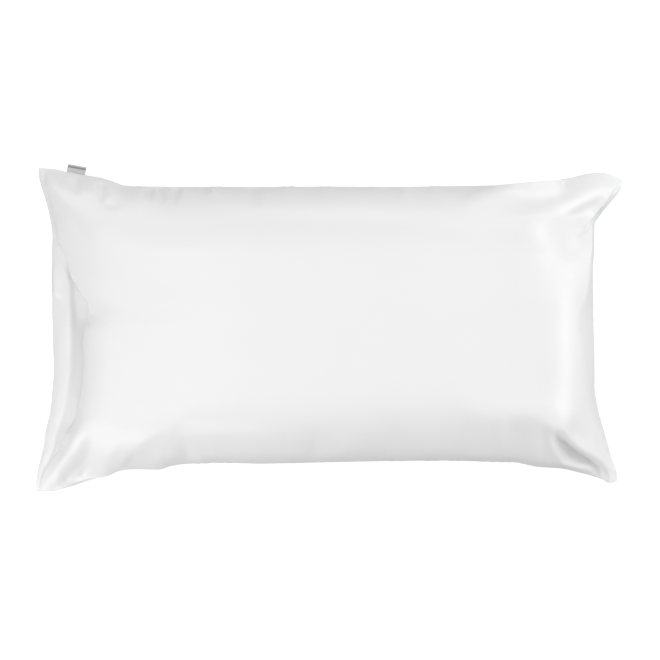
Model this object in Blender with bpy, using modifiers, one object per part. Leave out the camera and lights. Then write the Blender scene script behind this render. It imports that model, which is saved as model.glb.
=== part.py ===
"""A satin pillowcase, filled by its pillow and lying on its back.

The tables are in millimetres, and the parts are made in metres, +Z up. The origin is the
centre of the bounding box's base, +X runs along the long sides and +Y across them, so the
front of the case looks straight up.

The case is one filled solid. Its front and back are two grids of cloth that meet in a seam
all the way round. The front is worked out in three strips: the slack cloth at each end,
which dips to a tuck that the front overlaps, and the crowned panel between them. Soft
ridges and troughs are then raised on it from a short table.
"""

import math
from collections import namedtuple

import bmesh
import bpy
import numpy as np

MM = 0.001

# The case is cut to 500 x 900 mm. Its two layers are this thick together at the seam.
SEAM_THICKNESS = 2.0

# Cloth grid
ROWS = 44
END_COLUMNS = 10
PANEL_COLUMNS = 46
ROW_CROWDING = 0.62  # 0 spaces the grid lines evenly, 1 crowds them at the seams
COLUMN_CROWDING = 0.62

# Corners of the seam. The ends and sides below are given from these.
Tip = namedtuple("Tip", "x y height")
TOP_LEFT = Tip(-437.8, 241.8, 34)
TOP_RIGHT = Tip(441.0, 220.6, 66)
BOTTOM_LEFT = Tip(-441.0, -246.9, 40)
BOTTOM_RIGHT = Tip(436.0, -229.8, 47)

# Each side's seam: how far along from one tip to the next, how far it is drawn in from
# the straight line between the tips, and its height above the floor.
Station = namedtuple("Station", "along draw_in height")
TOP_EDGE = (
    Station(0.000, 0.0, 34),
    Station(0.021, 0.6, 42),
    Station(0.035, 2.2, 45),
    Station(0.045, 4.4, 47),
    Station(0.081, 9.9, 53),
    Station(0.111, 14.6, 58),
    Station(0.135, 20.9, 61),
    Station(0.150, 24.9, 62),
    Station(0.170, 26.2, 64),
    Station(0.250, 25.4, 65),
    Station(0.330, 23.6, 66),
    Station(0.400, 22.2, 67),
    Station(0.500, 19.8, 68),
    Station(0.600, 18.2, 68),
    Station(0.700, 14.6, 68),
    Station(0.776, 12.3, 70),
    Station(0.802, 10.2, 71),
    Station(0.828, 7.5, 72),
    Station(0.854, 5.4, 72),
    Station(0.879, 2.8, 72),
    Station(0.905, -0.8, 72),
    Station(0.931, -6.5, 71),
    Station(0.957, -10.1, 70),
    Station(0.966, -10.4, 69),
    Station(0.987, -6.0, 67),
    Station(1.000, 0.0, 66),
)
BOTTOM_EDGE = (
    Station(0.000, 0.0, 40),
    Station(0.025, 0.0, 42),
    Station(0.063, 7.7, 48),
    Station(0.104, 18.4, 56),
    Station(0.123, 21.8, 58),
    Station(0.145, 29.6, 59),
    Station(0.165, 32.0, 59),
    Station(0.214, 30.9, 60),
    Station(0.235, 36.2, 61),
    Station(0.265, 38.8, 61),
    Station(0.317, 39.8, 62),
    Station(0.395, 36.8, 62),
    Station(0.575, 37.3, 63),
    Station(0.678, 36.6, 62),
    Station(0.782, 33.2, 59),
    Station(0.818, 31.6, 57),
    Station(0.833, 29.8, 56),
    Station(0.847, 26.5, 55),
    Station(0.860, 23.6, 54),
    Station(0.874, 22.4, 53),
    Station(0.899, 20.5, 51),
    Station(0.930, 14.4, 49),
    Station(0.950, 9.5, 48),
    Station(0.971, 3.0, 47),
    Station(0.985, -3.0, 47),
    Station(0.991, -2.8, 47),
    Station(1.000, 0.0, 47),
)
LEFT_EDGE = (
    Station(0.000, 0.0, 40),
    Station(0.030, 0.8, 43),
    Station(0.060, 3.0, 45),
    Station(0.091, 6.5, 47),
    Station(0.134, 12.3, 50),
    Station(0.190, 16.2, 53),
    Station(0.245, 23.0, 56),
    Station(0.289, 26.0, 58),
    Station(0.388, 28.9, 61),
    Station(0.512, 26.9, 62),
    Station(0.661, 25.4, 62),
    Station(0.785, 25.6, 60),
    Station(0.835, 22.0, 58),
    Station(0.884, 15.8, 54),
    Station(0.934, 7.4, 49),
    Station(0.965, 2.5, 43),
    Station(1.000, 0.0, 34),
)
RIGHT_EDGE = (
    Station(0.000, 0.0, 47),
    Station(0.030, 1.8, 48),
    Station(0.062, 7.4, 49),
    Station(0.168, 22.4, 54),
    Station(0.248, 33.4, 58),
    Station(0.302, 37.9, 60),
    Station(0.515, 41.0, 64),
    Station(0.675, 43.5, 66),
    Station(0.835, 41.6, 68),
    Station(0.860, 40.9, 68),
    Station(0.872, 36.8, 68),
    Station(0.902, 27.0, 68),
    Station(0.936, 14.6, 67),
    Station(0.969, 3.1, 66),
    Station(1.000, 0.0, 66),
)

# The slack cloth at each end, from the bottom tip to the top one. Going in from the seam
# it rises over a shoulder to a crest, drops to a foot, dips on to a tuck and turns up again
# at the front's lip. Where the tuck is further in than the lip, the front overlaps the
# slack cloth. Each point is a distance in from the seam and a rise above it. Sharpness is
# how quickly the stuffing fills the front beyond the lip.
EndSection = namedtuple(
    "EndSection",
    "y shoulder_in shoulder_rise crest_in crest_rise foot_in foot_rise tuck_in tuck_rise"
    " lip_in lip_rise sharpness",
)
LEFT_END = (
    EndSection(-246.9, 1.5, 1, 3, 1.5, 3.8, 1.5, 4.5, 1.5, 6, 2, 7),
    EndSection(-229, 3, 2.5, 5, 3.5, 6.2, 3, 7, 2.5, 7.5, 3.5, 9),
    EndSection(-213, 4, 3.5, 8, 4.5, 10.2, 3.5, 11.4, 3, 12, 4, 15),
    EndSection(-201, 6, 4.5, 12, 6, 14.5, 4.5, 16.3, 3, 17, 4.5, 20),
    EndSection(-183, 8, 6, 15, 8.5, 20, 6, 24, 4, 24.2, 7, 26),
    EndSection(-160, 9, 7.5, 17, 10.5, 25, 7, 31, 4, 30.6, 8, 30),
    EndSection(-148, 10, 7.5, 19, 10.5, 29, 7.5, 38, 4, 37, 9, 34),
    EndSection(-132, 11, 9, 21, 12.5, 31, 10, 42, 7, 41, 12, 34),
    EndSection(-114, 12, 10.5, 22.5, 14.5, 33, 12, 44.5, 7, 43.3, 12, 34),
    EndSection(-96, 13, 11.5, 23.5, 15.5, 35, 12.5, 46.5, 7, 45.2, 13, 34),
    EndSection(-69, 12, 12, 25, 17, 36, 12.5, 47.5, 7, 46.2, 13, 34),
    EndSection(-33, 12, 12, 26.5, 17.5, 37, 13, 47.5, 7, 46.2, 13, 34),
    EndSection(-3, 13, 12, 27.5, 17, 38, 12, 50, 6, 49, 14, 34),
    EndSection(17, 14, 9, 27, 15, 38, 10, 58, 4, 56, 19, 30),
    EndSection(32, 13, 8, 27, 14, 37, 10, 62, 4, 58.5, 34, 18),
    EndSection(62, 5, 9, 27, 13, 34, 10, 45, 7, 41, 28, 12),
    EndSection(78, 4, 9, 23, 13, 28, 11, 34, 8, 31, 25, 11),
    EndSection(99, 3, 7, 15, 12, 21, 12, 26, 12, 24, 22, 11),
    EndSection(115, 2, 5, 10, 10, 15, 10.5, 19, 10.5, 17, 17, 12),
    EndSection(136, 1, 3, 3, 6, 4.5, 6.5, 6, 7, 5, 10, 14),
    EndSection(154, 1, 3, 2, 5, 2.5, 6, 3, 7, 4, 9, 16),
    EndSection(202, 1, 3, 2, 5, 2.5, 6, 3, 7, 4, 9, 16),
    EndSection(241.8, 1, 0.5, 2, 1, 2.5, 1.2, 3, 1.5, 4, 2, 16),
)
RIGHT_END = (
    EndSection(-229.8, 1, 0.5, 2, 1, 2.5, 1.2, 3, 1.5, 4, 2, 7),
    EndSection(-183, 1.5, 4, 3, 8, 4, 10, 5, 12, 6, 14, 7),
    EndSection(-153, 2.5, 8, 5, 15, 7, 20, 9, 25, 11, 29, 7),
    EndSection(-123, 4, 10, 9, 19, 12, 25, 15, 31, 19, 37, 7.5),
    EndSection(-98, 4, 10, 9.5, 21, 13, 28, 17, 34, 22, 41, 8),
    EndSection(-33, 4, 10, 9.5, 21, 13, 28, 17, 34, 22, 41, 8.5),
    EndSection(-7, 4.5, 11, 10, 23, 14, 30, 18, 37, 23, 44, 8.5),
    EndSection(12, 4.5, 11, 10, 24, 14, 32, 18, 39, 23, 46, 8.5),
    EndSection(27, 4, 11, 9, 24, 12.5, 32, 16, 39, 21, 46, 8.5),
    EndSection(44, 3, 11, 7, 24, 10, 31, 13, 38, 17, 45, 8),
    EndSection(62, 2, 11, 5, 24, 7.5, 31, 10, 38, 13, 45, 7),
    EndSection(92, 1.5, 11, 4, 23, 5.5, 30, 7.5, 37, 10, 43, 6),
    EndSection(117, 1, 10, 3, 20, 4.5, 27, 6, 33, 8, 39, 5.5),
    EndSection(139, 1, 7, 2.5, 14, 3.5, 19, 4.5, 24, 6, 29, 5.5),
    EndSection(157, 1, 5, 2, 9, 2.7, 12, 3.4, 15, 4.5, 19, 6),
    EndSection(184, 1, 4, 2, 7.5, 2.5, 9, 3, 10.5, 4, 12, 7),
    EndSection(207, 1, 3, 2, 5.5, 2.5, 6.5, 3, 7.5, 4, 9, 7),
    EndSection(220.6, 1, 0.5, 2, 1, 2.5, 1.2, 3, 1.5, 4, 2, 7),
)
SECTION_PARTS = ("shoulder", "crest", "foot", "tuck", "lip")
SECTION_POINTS = (0.0, 0.2, 0.42, 0.6, 0.82, 1.0)  # the seam, then the parts above
TIP_SHARE = 0.012  # how much of the long sides each end's slack cloth takes at the tips
TIP_FADE = 8

# How the stuffing fills the case. The front is flatter by the left end than in the middle.
# A higher shoulder keeps it full closer to the seam, and a lower roundness turns it over
# there more sharply. Towards the corners the roundness rises, which leaves the ears thin.
CROWN = 165.0
LEFT_CROWN = 110.0
LEFT_CROWN_REACH = 0.5
BACK_DEPTH = 82.0
FLOOR_ROUNDING = 14.0
LEFT_ROUNDNESS = 0.8
RIGHT_ROUNDNESS = 1.0
BACK_SHOULDER = 7.0
SIDE_SHOULDER = 5.0
SEAM_ROUNDNESS = (0.72, 0.85)  # along the bottom and the top
BACK_ROUNDNESS = 0.6
EAR_EASE = ((2.6, 0.0), (0.0, 0.0))  # less shoulder at the corners, given as below
EAR_REACH = 3
EAR_FLATNESS = ((1.4, 0.2), (0.0, 1.5))  # bottom left and right, top left and right
BACK_EAR_FLATNESS = 0.6
BACK_EAR_REACH = 5

# Soft ridges (height above zero) and troughs (below) in the front, from above. Bow is how
# far the middle of the line bends to its left.
Fold = namedtuple("Fold", "x1 y1 x2 y2 bow half_width height")
FOLDS = (
    # top left ear
    Fold(-342, 213, -315, 177, 0, 11, -4.5),
    Fold(-405, 213, -345, 138, 4, 13, 4),
    Fold(-408, 192, -357, 117, 4, 13, -4),
    # bottom left ear
    Fold(-387, -231, -354, -159, 3, 12, -4.5),
    Fold(-348, -222, -324, -150, 0, 14, 4),
    Fold(-312, -204, -285, -159, 0, 12, -2.5),
    # along the bottom
    Fold(-246, -177, -234, -144, 0, 16, -2.5),
    Fold(-180, -153, -168, -111, 0, 20, -2.5),
    Fold(-138, -180, -126, -126, 0, 18, 2.5),
    Fold(-35, -192, -25, -153, 0, 26, -3),
    Fold(21, -186, 24, -144, 0, 24, 2.5),
    Fold(87, -189, 93, -138, 0, 24, -3),
    Fold(138, -183, 144, -132, 0, 20, 2),
    Fold(183, -189, 183, -126, 0, 22, -3),
    Fold(213, -177, 207, -111, 0, 20, 2.5),
    Fold(258, -186, 255, -144, 0, 18, 2.5),
    Fold(297, -186, 297, -132, 0, 16, -3),
    # bottom right ear
    Fold(420, -223, 336, -132, -9, 11, 7),
    Fold(414, -223, 342, -165, -7, 9, -9),
    Fold(402, -214, 339, -186, -4, 8, 5),
    # right end
    Fold(352, 9, 367, -15, 0, 14, -2),
    # top right ear
    Fold(216, 184, 345, 214, 3, 10, 4),
    Fold(228, 170, 417, 219, -6, 11, -7),
    Fold(432, 219, 306, 105, 15, 12, 7.5),
    Fold(399, 192, 351, 108, 6, 11, -5.5),
    Fold(426, 204, 375, 141, 2, 7, 3),
    Fold(411, 171, 372, 132, 0, 7, -4),
)
FOLD_PEAK = 0.6  # each fold is highest a third of the way along and dies out at both ends
FOLD_CLEAR_OF_SEAM = 10.0  # folds die out over this distance from the seam

# The woven tape folded into the top seam by the left ear
TAB_WIDTH = 28.0
TAB_STAND_OUT = 11.15
TAB_THICKNESS = 0.6
TAB_LAYER_GAP = 0.8
TAB_ALONG = 0.0665  # on the top edge, tip to tip
TAB_CLEARANCE = 0.3
TAB_SEGMENTS = 10
TAB_BEND_STEPS = 6

# Colours are linear. Roughness is that of a smooth filament satin.
SATIN_COLOUR = (0.80, 0.80, 0.81, 1.0)
SATIN_ROUGHNESS = 0.42
TAPE_COLOUR = (0.55, 0.55, 0.56, 1.0)
TAPE_ROUGHNESS = 0.65


def curve_through(knots, values, at):
    """A smooth curve that passes each value at its knot and never swings past it."""
    knots, values, at = map(lambda given: np.asarray(given, float), (knots, values, at))
    sides = (-1,) + (1,) * (values.ndim - 1)
    steps = np.diff(knots).reshape(sides)
    rises = np.diff(values, axis=0) / steps
    slopes = np.zeros(values.shape)
    slopes[0], slopes[-1] = rises[0], rises[-1]
    before, after = rises[:-1], rises[1:]
    same_way = before * after > 0
    slopes[1:-1][same_way] = (2 * before * after)[same_way] / (before + after)[same_way]
    span = np.clip(np.searchsorted(knots, at, side="right") - 1, 0, len(knots) - 2)
    share = ((at - knots[span]) / np.diff(knots)[span]).reshape(sides)
    start = values[span] * (1 + 2 * share) * (1 - share) ** 2
    end = values[span + 1] * share**2 * (3 - 2 * share)
    leaving = slopes[span] * steps[span] * share * (1 - share) ** 2
    arriving = slopes[span + 1] * steps[span] * share**2 * (1 - share)
    return start + end + leaving - arriving


def column(table, name):
    return np.array([getattr(row, name) for row in table], float)


def seam_line(edge, start, end, inward, along):
    """Points of one side's seam from tip to tip, at these shares of its length."""
    straight = np.array(start)[:2] + np.outer(along, np.array(end)[:2] - np.array(start)[:2])
    draw_in = curve_through(column(edge, "along"), column(edge, "draw_in"), along)
    height = curve_through(column(edge, "along"), column(edge, "height"), along)
    return np.column_stack([straight + np.outer(draw_in, inward), height])


def top_seam(along):
    return seam_line(TOP_EDGE, TOP_LEFT, TOP_RIGHT, (0, -1), along)


def bottom_seam(along):
    return seam_line(BOTTOM_EDGE, BOTTOM_LEFT, BOTTOM_RIGHT, (0, 1), along)


def left_seam(along):
    return seam_line(LEFT_EDGE, BOTTOM_LEFT, TOP_LEFT, (1, 0), along)


def right_seam(along):
    return seam_line(RIGHT_EDGE, BOTTOM_RIGHT, TOP_RIGHT, (-1, 0), along)


def crowded(count, crowding):
    """Shares from 0 to 1, closer together at both ends."""
    even = np.linspace(0, 1, count + 1)
    cosine = (1 - np.cos(math.pi * even)) / 2
    return (1 - crowding) * even + crowding * cosine


def blend_between(left, right, bottom, top, across, up):
    """A smooth patch between four border lines (a Coons patch), rows by columns."""
    u, v = across[None, :, None], up[:, None, None]
    sides = (1 - u) * left[:, None] + u * right[:, None]
    ends = (1 - v) * bottom[None] + v * top[None]
    corners = (1 - v) * ((1 - u) * bottom[0] + u * bottom[-1]) + v * (
        (1 - u) * top[0] + u * top[-1]
    )
    return sides + ends - corners


def rounded_end(share, sharpness, roundness):
    """How full the case is at this share of the way from a lip to the far one."""
    to_middle = np.clip(2 * share, 0, 1)
    return (1 - (1 - to_middle) ** sharpness) ** roundness


def front_stuffing(across, up, left_sharpness, right_sharpness):
    """How full the front is, 0 at the lips and seams to 1 in the middle."""
    s, t = np.abs(2 * across - 1)[None, :], np.abs(2 * up - 1)[:, None]
    left = rounded_end(across[None], left_sharpness[:, None], LEFT_ROUNDNESS)
    right = rounded_end(1 - across[None], right_sharpness[:, None], RIGHT_ROUNDNESS)
    ends, rows = (across > 0.5).astype(int)[None, :], (up > 0.5).astype(int)[:, None]
    roundness = np.array(SEAM_ROUNDNESS)[rows]
    flatness = np.array(EAR_FLATNESS)[rows, ends]
    shoulder = SIDE_SHOULDER - np.array(EAR_EASE)[rows, ends] * s**2
    sides = (1 - t**shoulder) ** (roundness * (1 + flatness * (s * t) ** EAR_REACH))
    return left * right * sides


def back_stuffing(across, up):
    """How full the back is, 0 at the seam to 1 in the middle."""
    s, t = np.abs(2 * across - 1)[None, :], np.abs(2 * up - 1)[:, None]
    full = (1 - s**BACK_SHOULDER) * (1 - t**SIDE_SHOULDER)
    corner = (s * t) ** BACK_EAR_REACH
    return full ** (BACK_ROUNDNESS + BACK_EAR_FLATNESS * corner)


def level_with(table, up):
    """How far up the frame, in mm, each share of the way up one end is."""
    return table[0].y + (table[-1].y - table[0].y) * up


def end_strip(table, seam, inward, tips, up, columns):
    """The slack cloth of one end, rows by columns, from its seam in to its lip."""
    heights_up = level_with(table, up)
    levels = [np.zeros((len(up), 2))]
    for name in SECTION_PARTS:
        pair = np.column_stack([column(table, name + "_in"), column(table, name + "_rise")])
        levels.append(curve_through(column(table, "y"), pair, heights_up))
    shares = np.linspace(0, 1, columns + 1)
    section = curve_through(SECTION_POINTS, np.array(levels), shares)
    strip = np.repeat(seam[:, None], columns + 1, axis=1)
    strip[..., 0] += inward * section[..., 0].T
    strip[..., 2] += section[..., 1].T
    # at the tips the lip ends on the long sides' seams, which slope
    bottom, top = tips
    for tip, fade in ((bottom, (1 - up) ** TIP_FADE), (top, up**TIP_FADE)):
        at_tip = strip[0] if tip is bottom else strip[-1]
        miss = (tip - at_tip[-1])[None, None] * fade[:, None, None]
        strip = strip + miss * shares[None, :, None]
    return strip


def fold_relief(points):
    """How far the folds raise the cloth at these points, summed."""
    relief = np.zeros(points.shape[:-1])
    for fold in FOLDS:
        start = np.array([fold.x1, fold.y1])
        line = np.array([fold.x2, fold.y2]) - start
        side = np.array([-line[1], line[0]]) / np.hypot(*line)
        offset = points[..., :2] - start
        share = np.clip(offset @ line / (line @ line), 0, 1)
        bow = fold.bow * 4 * share * (1 - share)
        spot = share[..., None] * line + bow[..., None] * side
        away = np.linalg.norm(offset - spot, axis=-1) / fold.half_width
        strength = np.sin(math.pi * share**FOLD_PEAK) ** 2
        relief += fold.height * strength * np.exp(-(away**2))
    return relief


def cloth_normals(points):
    """The upward normal of a grid of cloth at each point."""
    across = np.gradient(points, axis=1)
    up = np.gradient(points, axis=0)
    normals = np.cross(across, up)
    return normals / np.maximum(np.linalg.norm(normals, axis=-1, keepdims=True), 1e-12)


def along_shares(end_columns, panel_columns):
    """The grid's shares along the long sides, tip to tip."""
    end_shares = np.linspace(0, TIP_SHARE, end_columns + 1)
    across = crowded(panel_columns, COLUMN_CROWDING)
    panel_shares = TIP_SHARE + (1 - 2 * TIP_SHARE) * across
    return np.concatenate([end_shares, panel_shares[1:-1], 1 - end_shares[::-1]])


def front_points(rows, end_columns, panel_columns):
    up = crowded(rows, ROW_CROWDING)
    across = crowded(panel_columns, COLUMN_CROWDING)
    tip_shares = np.array([TIP_SHARE, 1 - TIP_SHARE])
    bottom_tips, top_tips = bottom_seam(tip_shares), top_seam(tip_shares)
    left = end_strip(
        LEFT_END, left_seam(up), 1, (bottom_tips[0], top_tips[0]), up, end_columns
    )
    right = end_strip(
        RIGHT_END, right_seam(up), -1, (bottom_tips[1], top_tips[1]), up, end_columns
    )
    along = TIP_SHARE + (1 - 2 * TIP_SHARE) * across
    panel = blend_between(
        left[:, -1], right[:, -1], bottom_seam(along), top_seam(along), across, up
    )
    left_sharpness, right_sharpness = (
        curve_through(column(table, "y"), column(table, "sharpness"), level_with(table, up))
        for table in (LEFT_END, RIGHT_END)
    )
    full = front_stuffing(across, up, left_sharpness, right_sharpness)
    by_left = np.clip(1 - across / LEFT_CROWN_REACH, 0, 1) ** 2
    crown = CROWN - (CROWN - LEFT_CROWN) * by_left
    panel[..., 2] += (crown - panel[..., 2]) * full
    # the end strips' first and last rows follow the seams of the long sides
    end_shares = np.linspace(0, TIP_SHARE, end_columns + 1)
    for row, seam in ((0, bottom_seam), (-1, top_seam)):
        left[row], right[row] = seam(end_shares), seam(1 - end_shares)
    points = np.concatenate([left, panel[:, 1:-1], right[:, ::-1]], axis=1)
    from_seam = np.minimum(up, 1 - up)[:, None] * (TOP_LEFT.y - BOTTOM_LEFT.y)
    free = np.clip(from_seam / FOLD_CLEAR_OF_SEAM, 0, 1)
    points += cloth_normals(points) * (fold_relief(points) * free)[..., None]
    points[..., 2] += SEAM_THICKNESS / 2
    return points


def back_points(rows, end_columns, panel_columns):
    up = crowded(rows, ROW_CROWDING)
    along = along_shares(end_columns, panel_columns)
    points = blend_between(
        left_seam(up), right_seam(up), bottom_seam(along), top_seam(along), along, up
    )
    seam_height = points[..., 2].copy()
    hang = np.maximum(seam_height - BACK_DEPTH * back_stuffing(along, up), 0)
    rolled = hang**2 / (hang + FLOOR_ROUNDING)
    at_seam = seam_height / (seam_height + FLOOR_ROUNDING)
    points[..., 2] = np.maximum(rolled / at_seam - SEAM_THICKNESS / 2, 0)
    return points


def add_cloth(bm, points, faces_up):
    """Adds a grid with a vertex at each point, and returns its border edges."""
    rows, columns = points.shape[0] - 1, points.shape[1] - 1
    made = bmesh.ops.create_grid(bm, x_segments=columns, y_segments=rows, size=0.5)
    for vert, point in zip(made["verts"], points.reshape(-1, 3)):
        vert.co = point * MM
    faces = {face for vert in made["verts"] for face in vert.link_faces}
    if not faces_up:
        bmesh.ops.reverse_faces(bm, faces=list(faces))
    return [edge for edge in {e for f in faces for e in f.edges} if edge.is_boundary]


def satin_material():
    material = bpy.data.materials.new("white_satin")
    material.use_nodes = True
    shader = material.node_tree.nodes["Principled BSDF"]
    shader.inputs["Base Color"].default_value = SATIN_COLOUR
    shader.inputs["Roughness"].default_value = SATIN_ROUGHNESS
    shader.inputs["Metallic"].default_value = 0.0
    return material


def tape_material():
    material = bpy.data.materials.new("grey_woven_tape")
    material.use_nodes = True
    shader = material.node_tree.nodes["Principled BSDF"]
    shader.inputs["Base Color"].default_value = TAPE_COLOUR
    shader.inputs["Roughness"].default_value = TAPE_ROUGHNESS
    shader.inputs["Metallic"].default_value = 0.0
    return material


def make_pillowcase(parts):
    bm = bmesh.new()
    size = (ROWS, END_COLUMNS, PANEL_COLUMNS)
    seams = add_cloth(bm, front_points(*size), faces_up=True)
    seams += add_cloth(bm, back_points(*size), faces_up=False)
    bmesh.ops.bridge_loops(bm, edges=seams)
    bmesh.ops.recalc_face_normals(bm, faces=bm.faces)
    mesh = bpy.data.meshes.new("pillowcase")
    bm.to_mesh(mesh)
    bm.free()
    mesh.shade_smooth()
    case = bpy.data.objects.new("pillowcase", mesh)
    case.data.materials.append(satin_material())
    parts.objects.link(case)
    return case


def tab_section():
    """The folded tape from one end to the other: distance out from the seam, and height."""
    radius = (TAB_LAYER_GAP + TAB_THICKNESS) / 2
    straight = TAB_STAND_OUT - radius
    section = [(0.0, radius), (straight * 0.5, radius)]
    for step in range(TAB_BEND_STEPS + 1):
        turn = math.pi * step / TAB_BEND_STEPS
        section.append((straight + radius * math.sin(turn), radius * math.cos(turn)))
    section += [(straight * 0.5, -radius), (0.0, -radius)]
    return section


def make_side_tab(parts):
    """A strip of tape folded double, its two ends against the top seam."""
    half = TAB_WIDTH / 2 / (TOP_RIGHT.x - TOP_LEFT.x)
    ends = top_seam(np.array([TAB_ALONG - half, TAB_ALONG + half]))
    feet = ends[0] + np.linspace(0, 1, TAB_SEGMENTS + 1)[:, None] * (ends[1] - ends[0])
    outward = np.array([ends[0, 1] - ends[1, 1], ends[1, 0] - ends[0, 0], 0.0])
    outward /= np.linalg.norm(outward)
    section = tab_section()
    bm = bmesh.new()
    made = bmesh.ops.create_grid(
        bm, x_segments=TAB_SEGMENTS, y_segments=len(section) - 1, size=0.5
    )
    for index, vert in enumerate(made["verts"]):
        row, place = divmod(index, TAB_SEGMENTS + 1)
        out, height = section[row]
        point = feet[place] + outward * (TAB_CLEARANCE + out)
        vert.co = (point[0] * MM, point[1] * MM, (point[2] + height) * MM)
    bmesh.ops.recalc_face_normals(bm, faces=bm.faces)
    mesh = bpy.data.meshes.new("side_tab")
    bm.to_mesh(mesh)
    bm.free()
    tab = bpy.data.objects.new("side_tab", mesh)
    tab.data.materials.append(tape_material())
    thicken = tab.modifiers.new("tape_thickness", "SOLIDIFY")
    thicken.thickness = TAB_THICKNESS * MM
    thicken.offset = 0
    parts.objects.link(tab)
    return tab


def main():
    for obj in list(bpy.data.objects):
        bpy.data.objects.remove(obj)
    parts = bpy.data.collections.new("satin_pillowcase")
    bpy.context.scene.collection.children.link(parts)
    make_pillowcase(parts)
    make_side_tab(parts)


main()
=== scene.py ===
"""Looks for a satin pillowcase, filled by its pillow and lying on its back.

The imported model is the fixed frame: the case and its tab are built again here at a finer
grain, in the same place, and stand for its two solids. Tables are in millimetres, in the
frame's own axes: +X along the long sides, +Y across them and +Z up out of the front.
"""

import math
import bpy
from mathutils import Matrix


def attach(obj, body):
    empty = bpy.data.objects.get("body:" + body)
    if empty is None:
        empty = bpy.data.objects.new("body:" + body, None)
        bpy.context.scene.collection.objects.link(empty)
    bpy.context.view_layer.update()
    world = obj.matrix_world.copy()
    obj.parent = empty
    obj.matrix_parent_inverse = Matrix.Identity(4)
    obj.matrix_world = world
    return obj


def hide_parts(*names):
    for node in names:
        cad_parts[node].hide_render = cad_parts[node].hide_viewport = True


bl_info = {
    "name": "Satin pillowcase",
    "version": (1, 0, 0),
    "blender": (4, 5, 0),
    "location": "View3D > Sidebar > Pillowcase",
    "description": "Builds a filled satin pillowcase, its tape tab and a plain studio",
    "category": "Add Mesh",
}

from collections import namedtuple

import bmesh
import bpy
import numpy as np
from bpy.props import FloatProperty, FloatVectorProperty, IntProperty, PointerProperty
from mathutils import Vector, noise

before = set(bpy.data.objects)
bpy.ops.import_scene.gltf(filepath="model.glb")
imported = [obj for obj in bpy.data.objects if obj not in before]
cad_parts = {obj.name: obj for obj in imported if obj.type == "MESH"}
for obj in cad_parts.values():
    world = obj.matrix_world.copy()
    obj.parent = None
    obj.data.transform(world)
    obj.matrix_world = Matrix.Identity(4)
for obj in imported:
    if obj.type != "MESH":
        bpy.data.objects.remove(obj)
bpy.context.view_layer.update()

MM = 0.001

# ---------------------------------------------------------------- the case's shape, in mm

# Corners of the seam. The ends and sides below are given from these.
Tip = namedtuple("Tip", "x y height")
TOP_LEFT = Tip(-437.8, 241.8, 34)
TOP_RIGHT = Tip(441.0, 220.6, 66)
BOTTOM_LEFT = Tip(-441.0, -246.9, 40)
BOTTOM_RIGHT = Tip(436.0, -229.8, 47)

# Each side's seam: how far along from one tip to the next, how far it is drawn in from
# the straight line between the tips, and its height above the floor.
Station = namedtuple("Station", "along draw_in height")
TOP_EDGE = (
    Station(0.000, 0.0, 34),
    Station(0.021, 0.6, 42),
    Station(0.035, 2.2, 45),
    Station(0.045, 4.4, 47),
    Station(0.081, 9.9, 53),
    Station(0.111, 14.6, 58),
    Station(0.135, 20.9, 61),
    Station(0.150, 24.9, 62),
    Station(0.170, 26.2, 64),
    Station(0.250, 25.4, 65),
    Station(0.330, 23.6, 66),
    Station(0.400, 22.2, 67),
    Station(0.500, 19.8, 68),
    Station(0.600, 18.2, 68),
    Station(0.700, 14.6, 68),
    Station(0.776, 12.3, 70),
    Station(0.802, 10.2, 71),
    Station(0.828, 7.5, 72),
    Station(0.854, 5.4, 72),
    Station(0.879, 2.8, 72),
    Station(0.905, -0.8, 72),
    Station(0.931, -6.5, 71),
    Station(0.957, -10.1, 70),
    Station(0.966, -10.4, 69),
    Station(0.987, -6.0, 67),
    Station(1.000, 0.0, 66),
)
BOTTOM_EDGE = (
    Station(0.000, 0.0, 40),
    Station(0.025, 0.0, 42),
    Station(0.063, 7.7, 48),
    Station(0.104, 18.4, 56),
    Station(0.123, 21.8, 58),
    Station(0.145, 29.6, 59),
    Station(0.165, 32.0, 59),
    Station(0.214, 30.9, 60),
    Station(0.235, 36.2, 61),
    Station(0.265, 38.8, 61),
    Station(0.317, 39.8, 62),
    Station(0.395, 36.8, 62),
    Station(0.575, 37.3, 63),
    Station(0.678, 36.6, 62),
    Station(0.782, 33.2, 59),
    Station(0.818, 31.6, 57),
    Station(0.833, 29.8, 56),
    Station(0.847, 26.5, 55),
    Station(0.860, 23.6, 54),
    Station(0.874, 22.4, 53),
    Station(0.899, 20.5, 51),
    Station(0.930, 14.4, 49),
    Station(0.950, 9.5, 48),
    Station(0.971, 3.0, 47),
    Station(0.985, -3.0, 47),
    Station(0.991, -2.8, 47),
    Station(1.000, 0.0, 47),
)
LEFT_EDGE = (
    Station(0.000, 0.0, 40),
    Station(0.030, 0.8, 43),
    Station(0.060, 3.0, 45),
    Station(0.091, 6.5, 47),
    Station(0.134, 12.3, 50),
    Station(0.190, 16.2, 53),
    Station(0.245, 23.0, 56),
    Station(0.289, 26.0, 58),
    Station(0.388, 28.9, 61),
    Station(0.512, 26.9, 62),
    Station(0.661, 25.4, 62),
    Station(0.785, 25.6, 60),
    Station(0.835, 22.0, 58),
    Station(0.884, 15.8, 54),
    Station(0.934, 7.4, 49),
    Station(0.965, 2.5, 43),
    Station(1.000, 0.0, 34),
)
RIGHT_EDGE = (
    Station(0.000, 0.0, 47),
    Station(0.030, 1.8, 48),
    Station(0.062, 7.4, 49),
    Station(0.168, 22.4, 54),
    Station(0.248, 33.4, 58),
    Station(0.302, 37.9, 60),
    Station(0.515, 41.0, 64),
    Station(0.675, 43.5, 66),
    Station(0.835, 41.6, 68),
    Station(0.860, 40.9, 68),
    Station(0.872, 36.8, 68),
    Station(0.902, 27.0, 68),
    Station(0.936, 14.6, 67),
    Station(0.969, 3.1, 66),
    Station(1.000, 0.0, 66),
)

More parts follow.
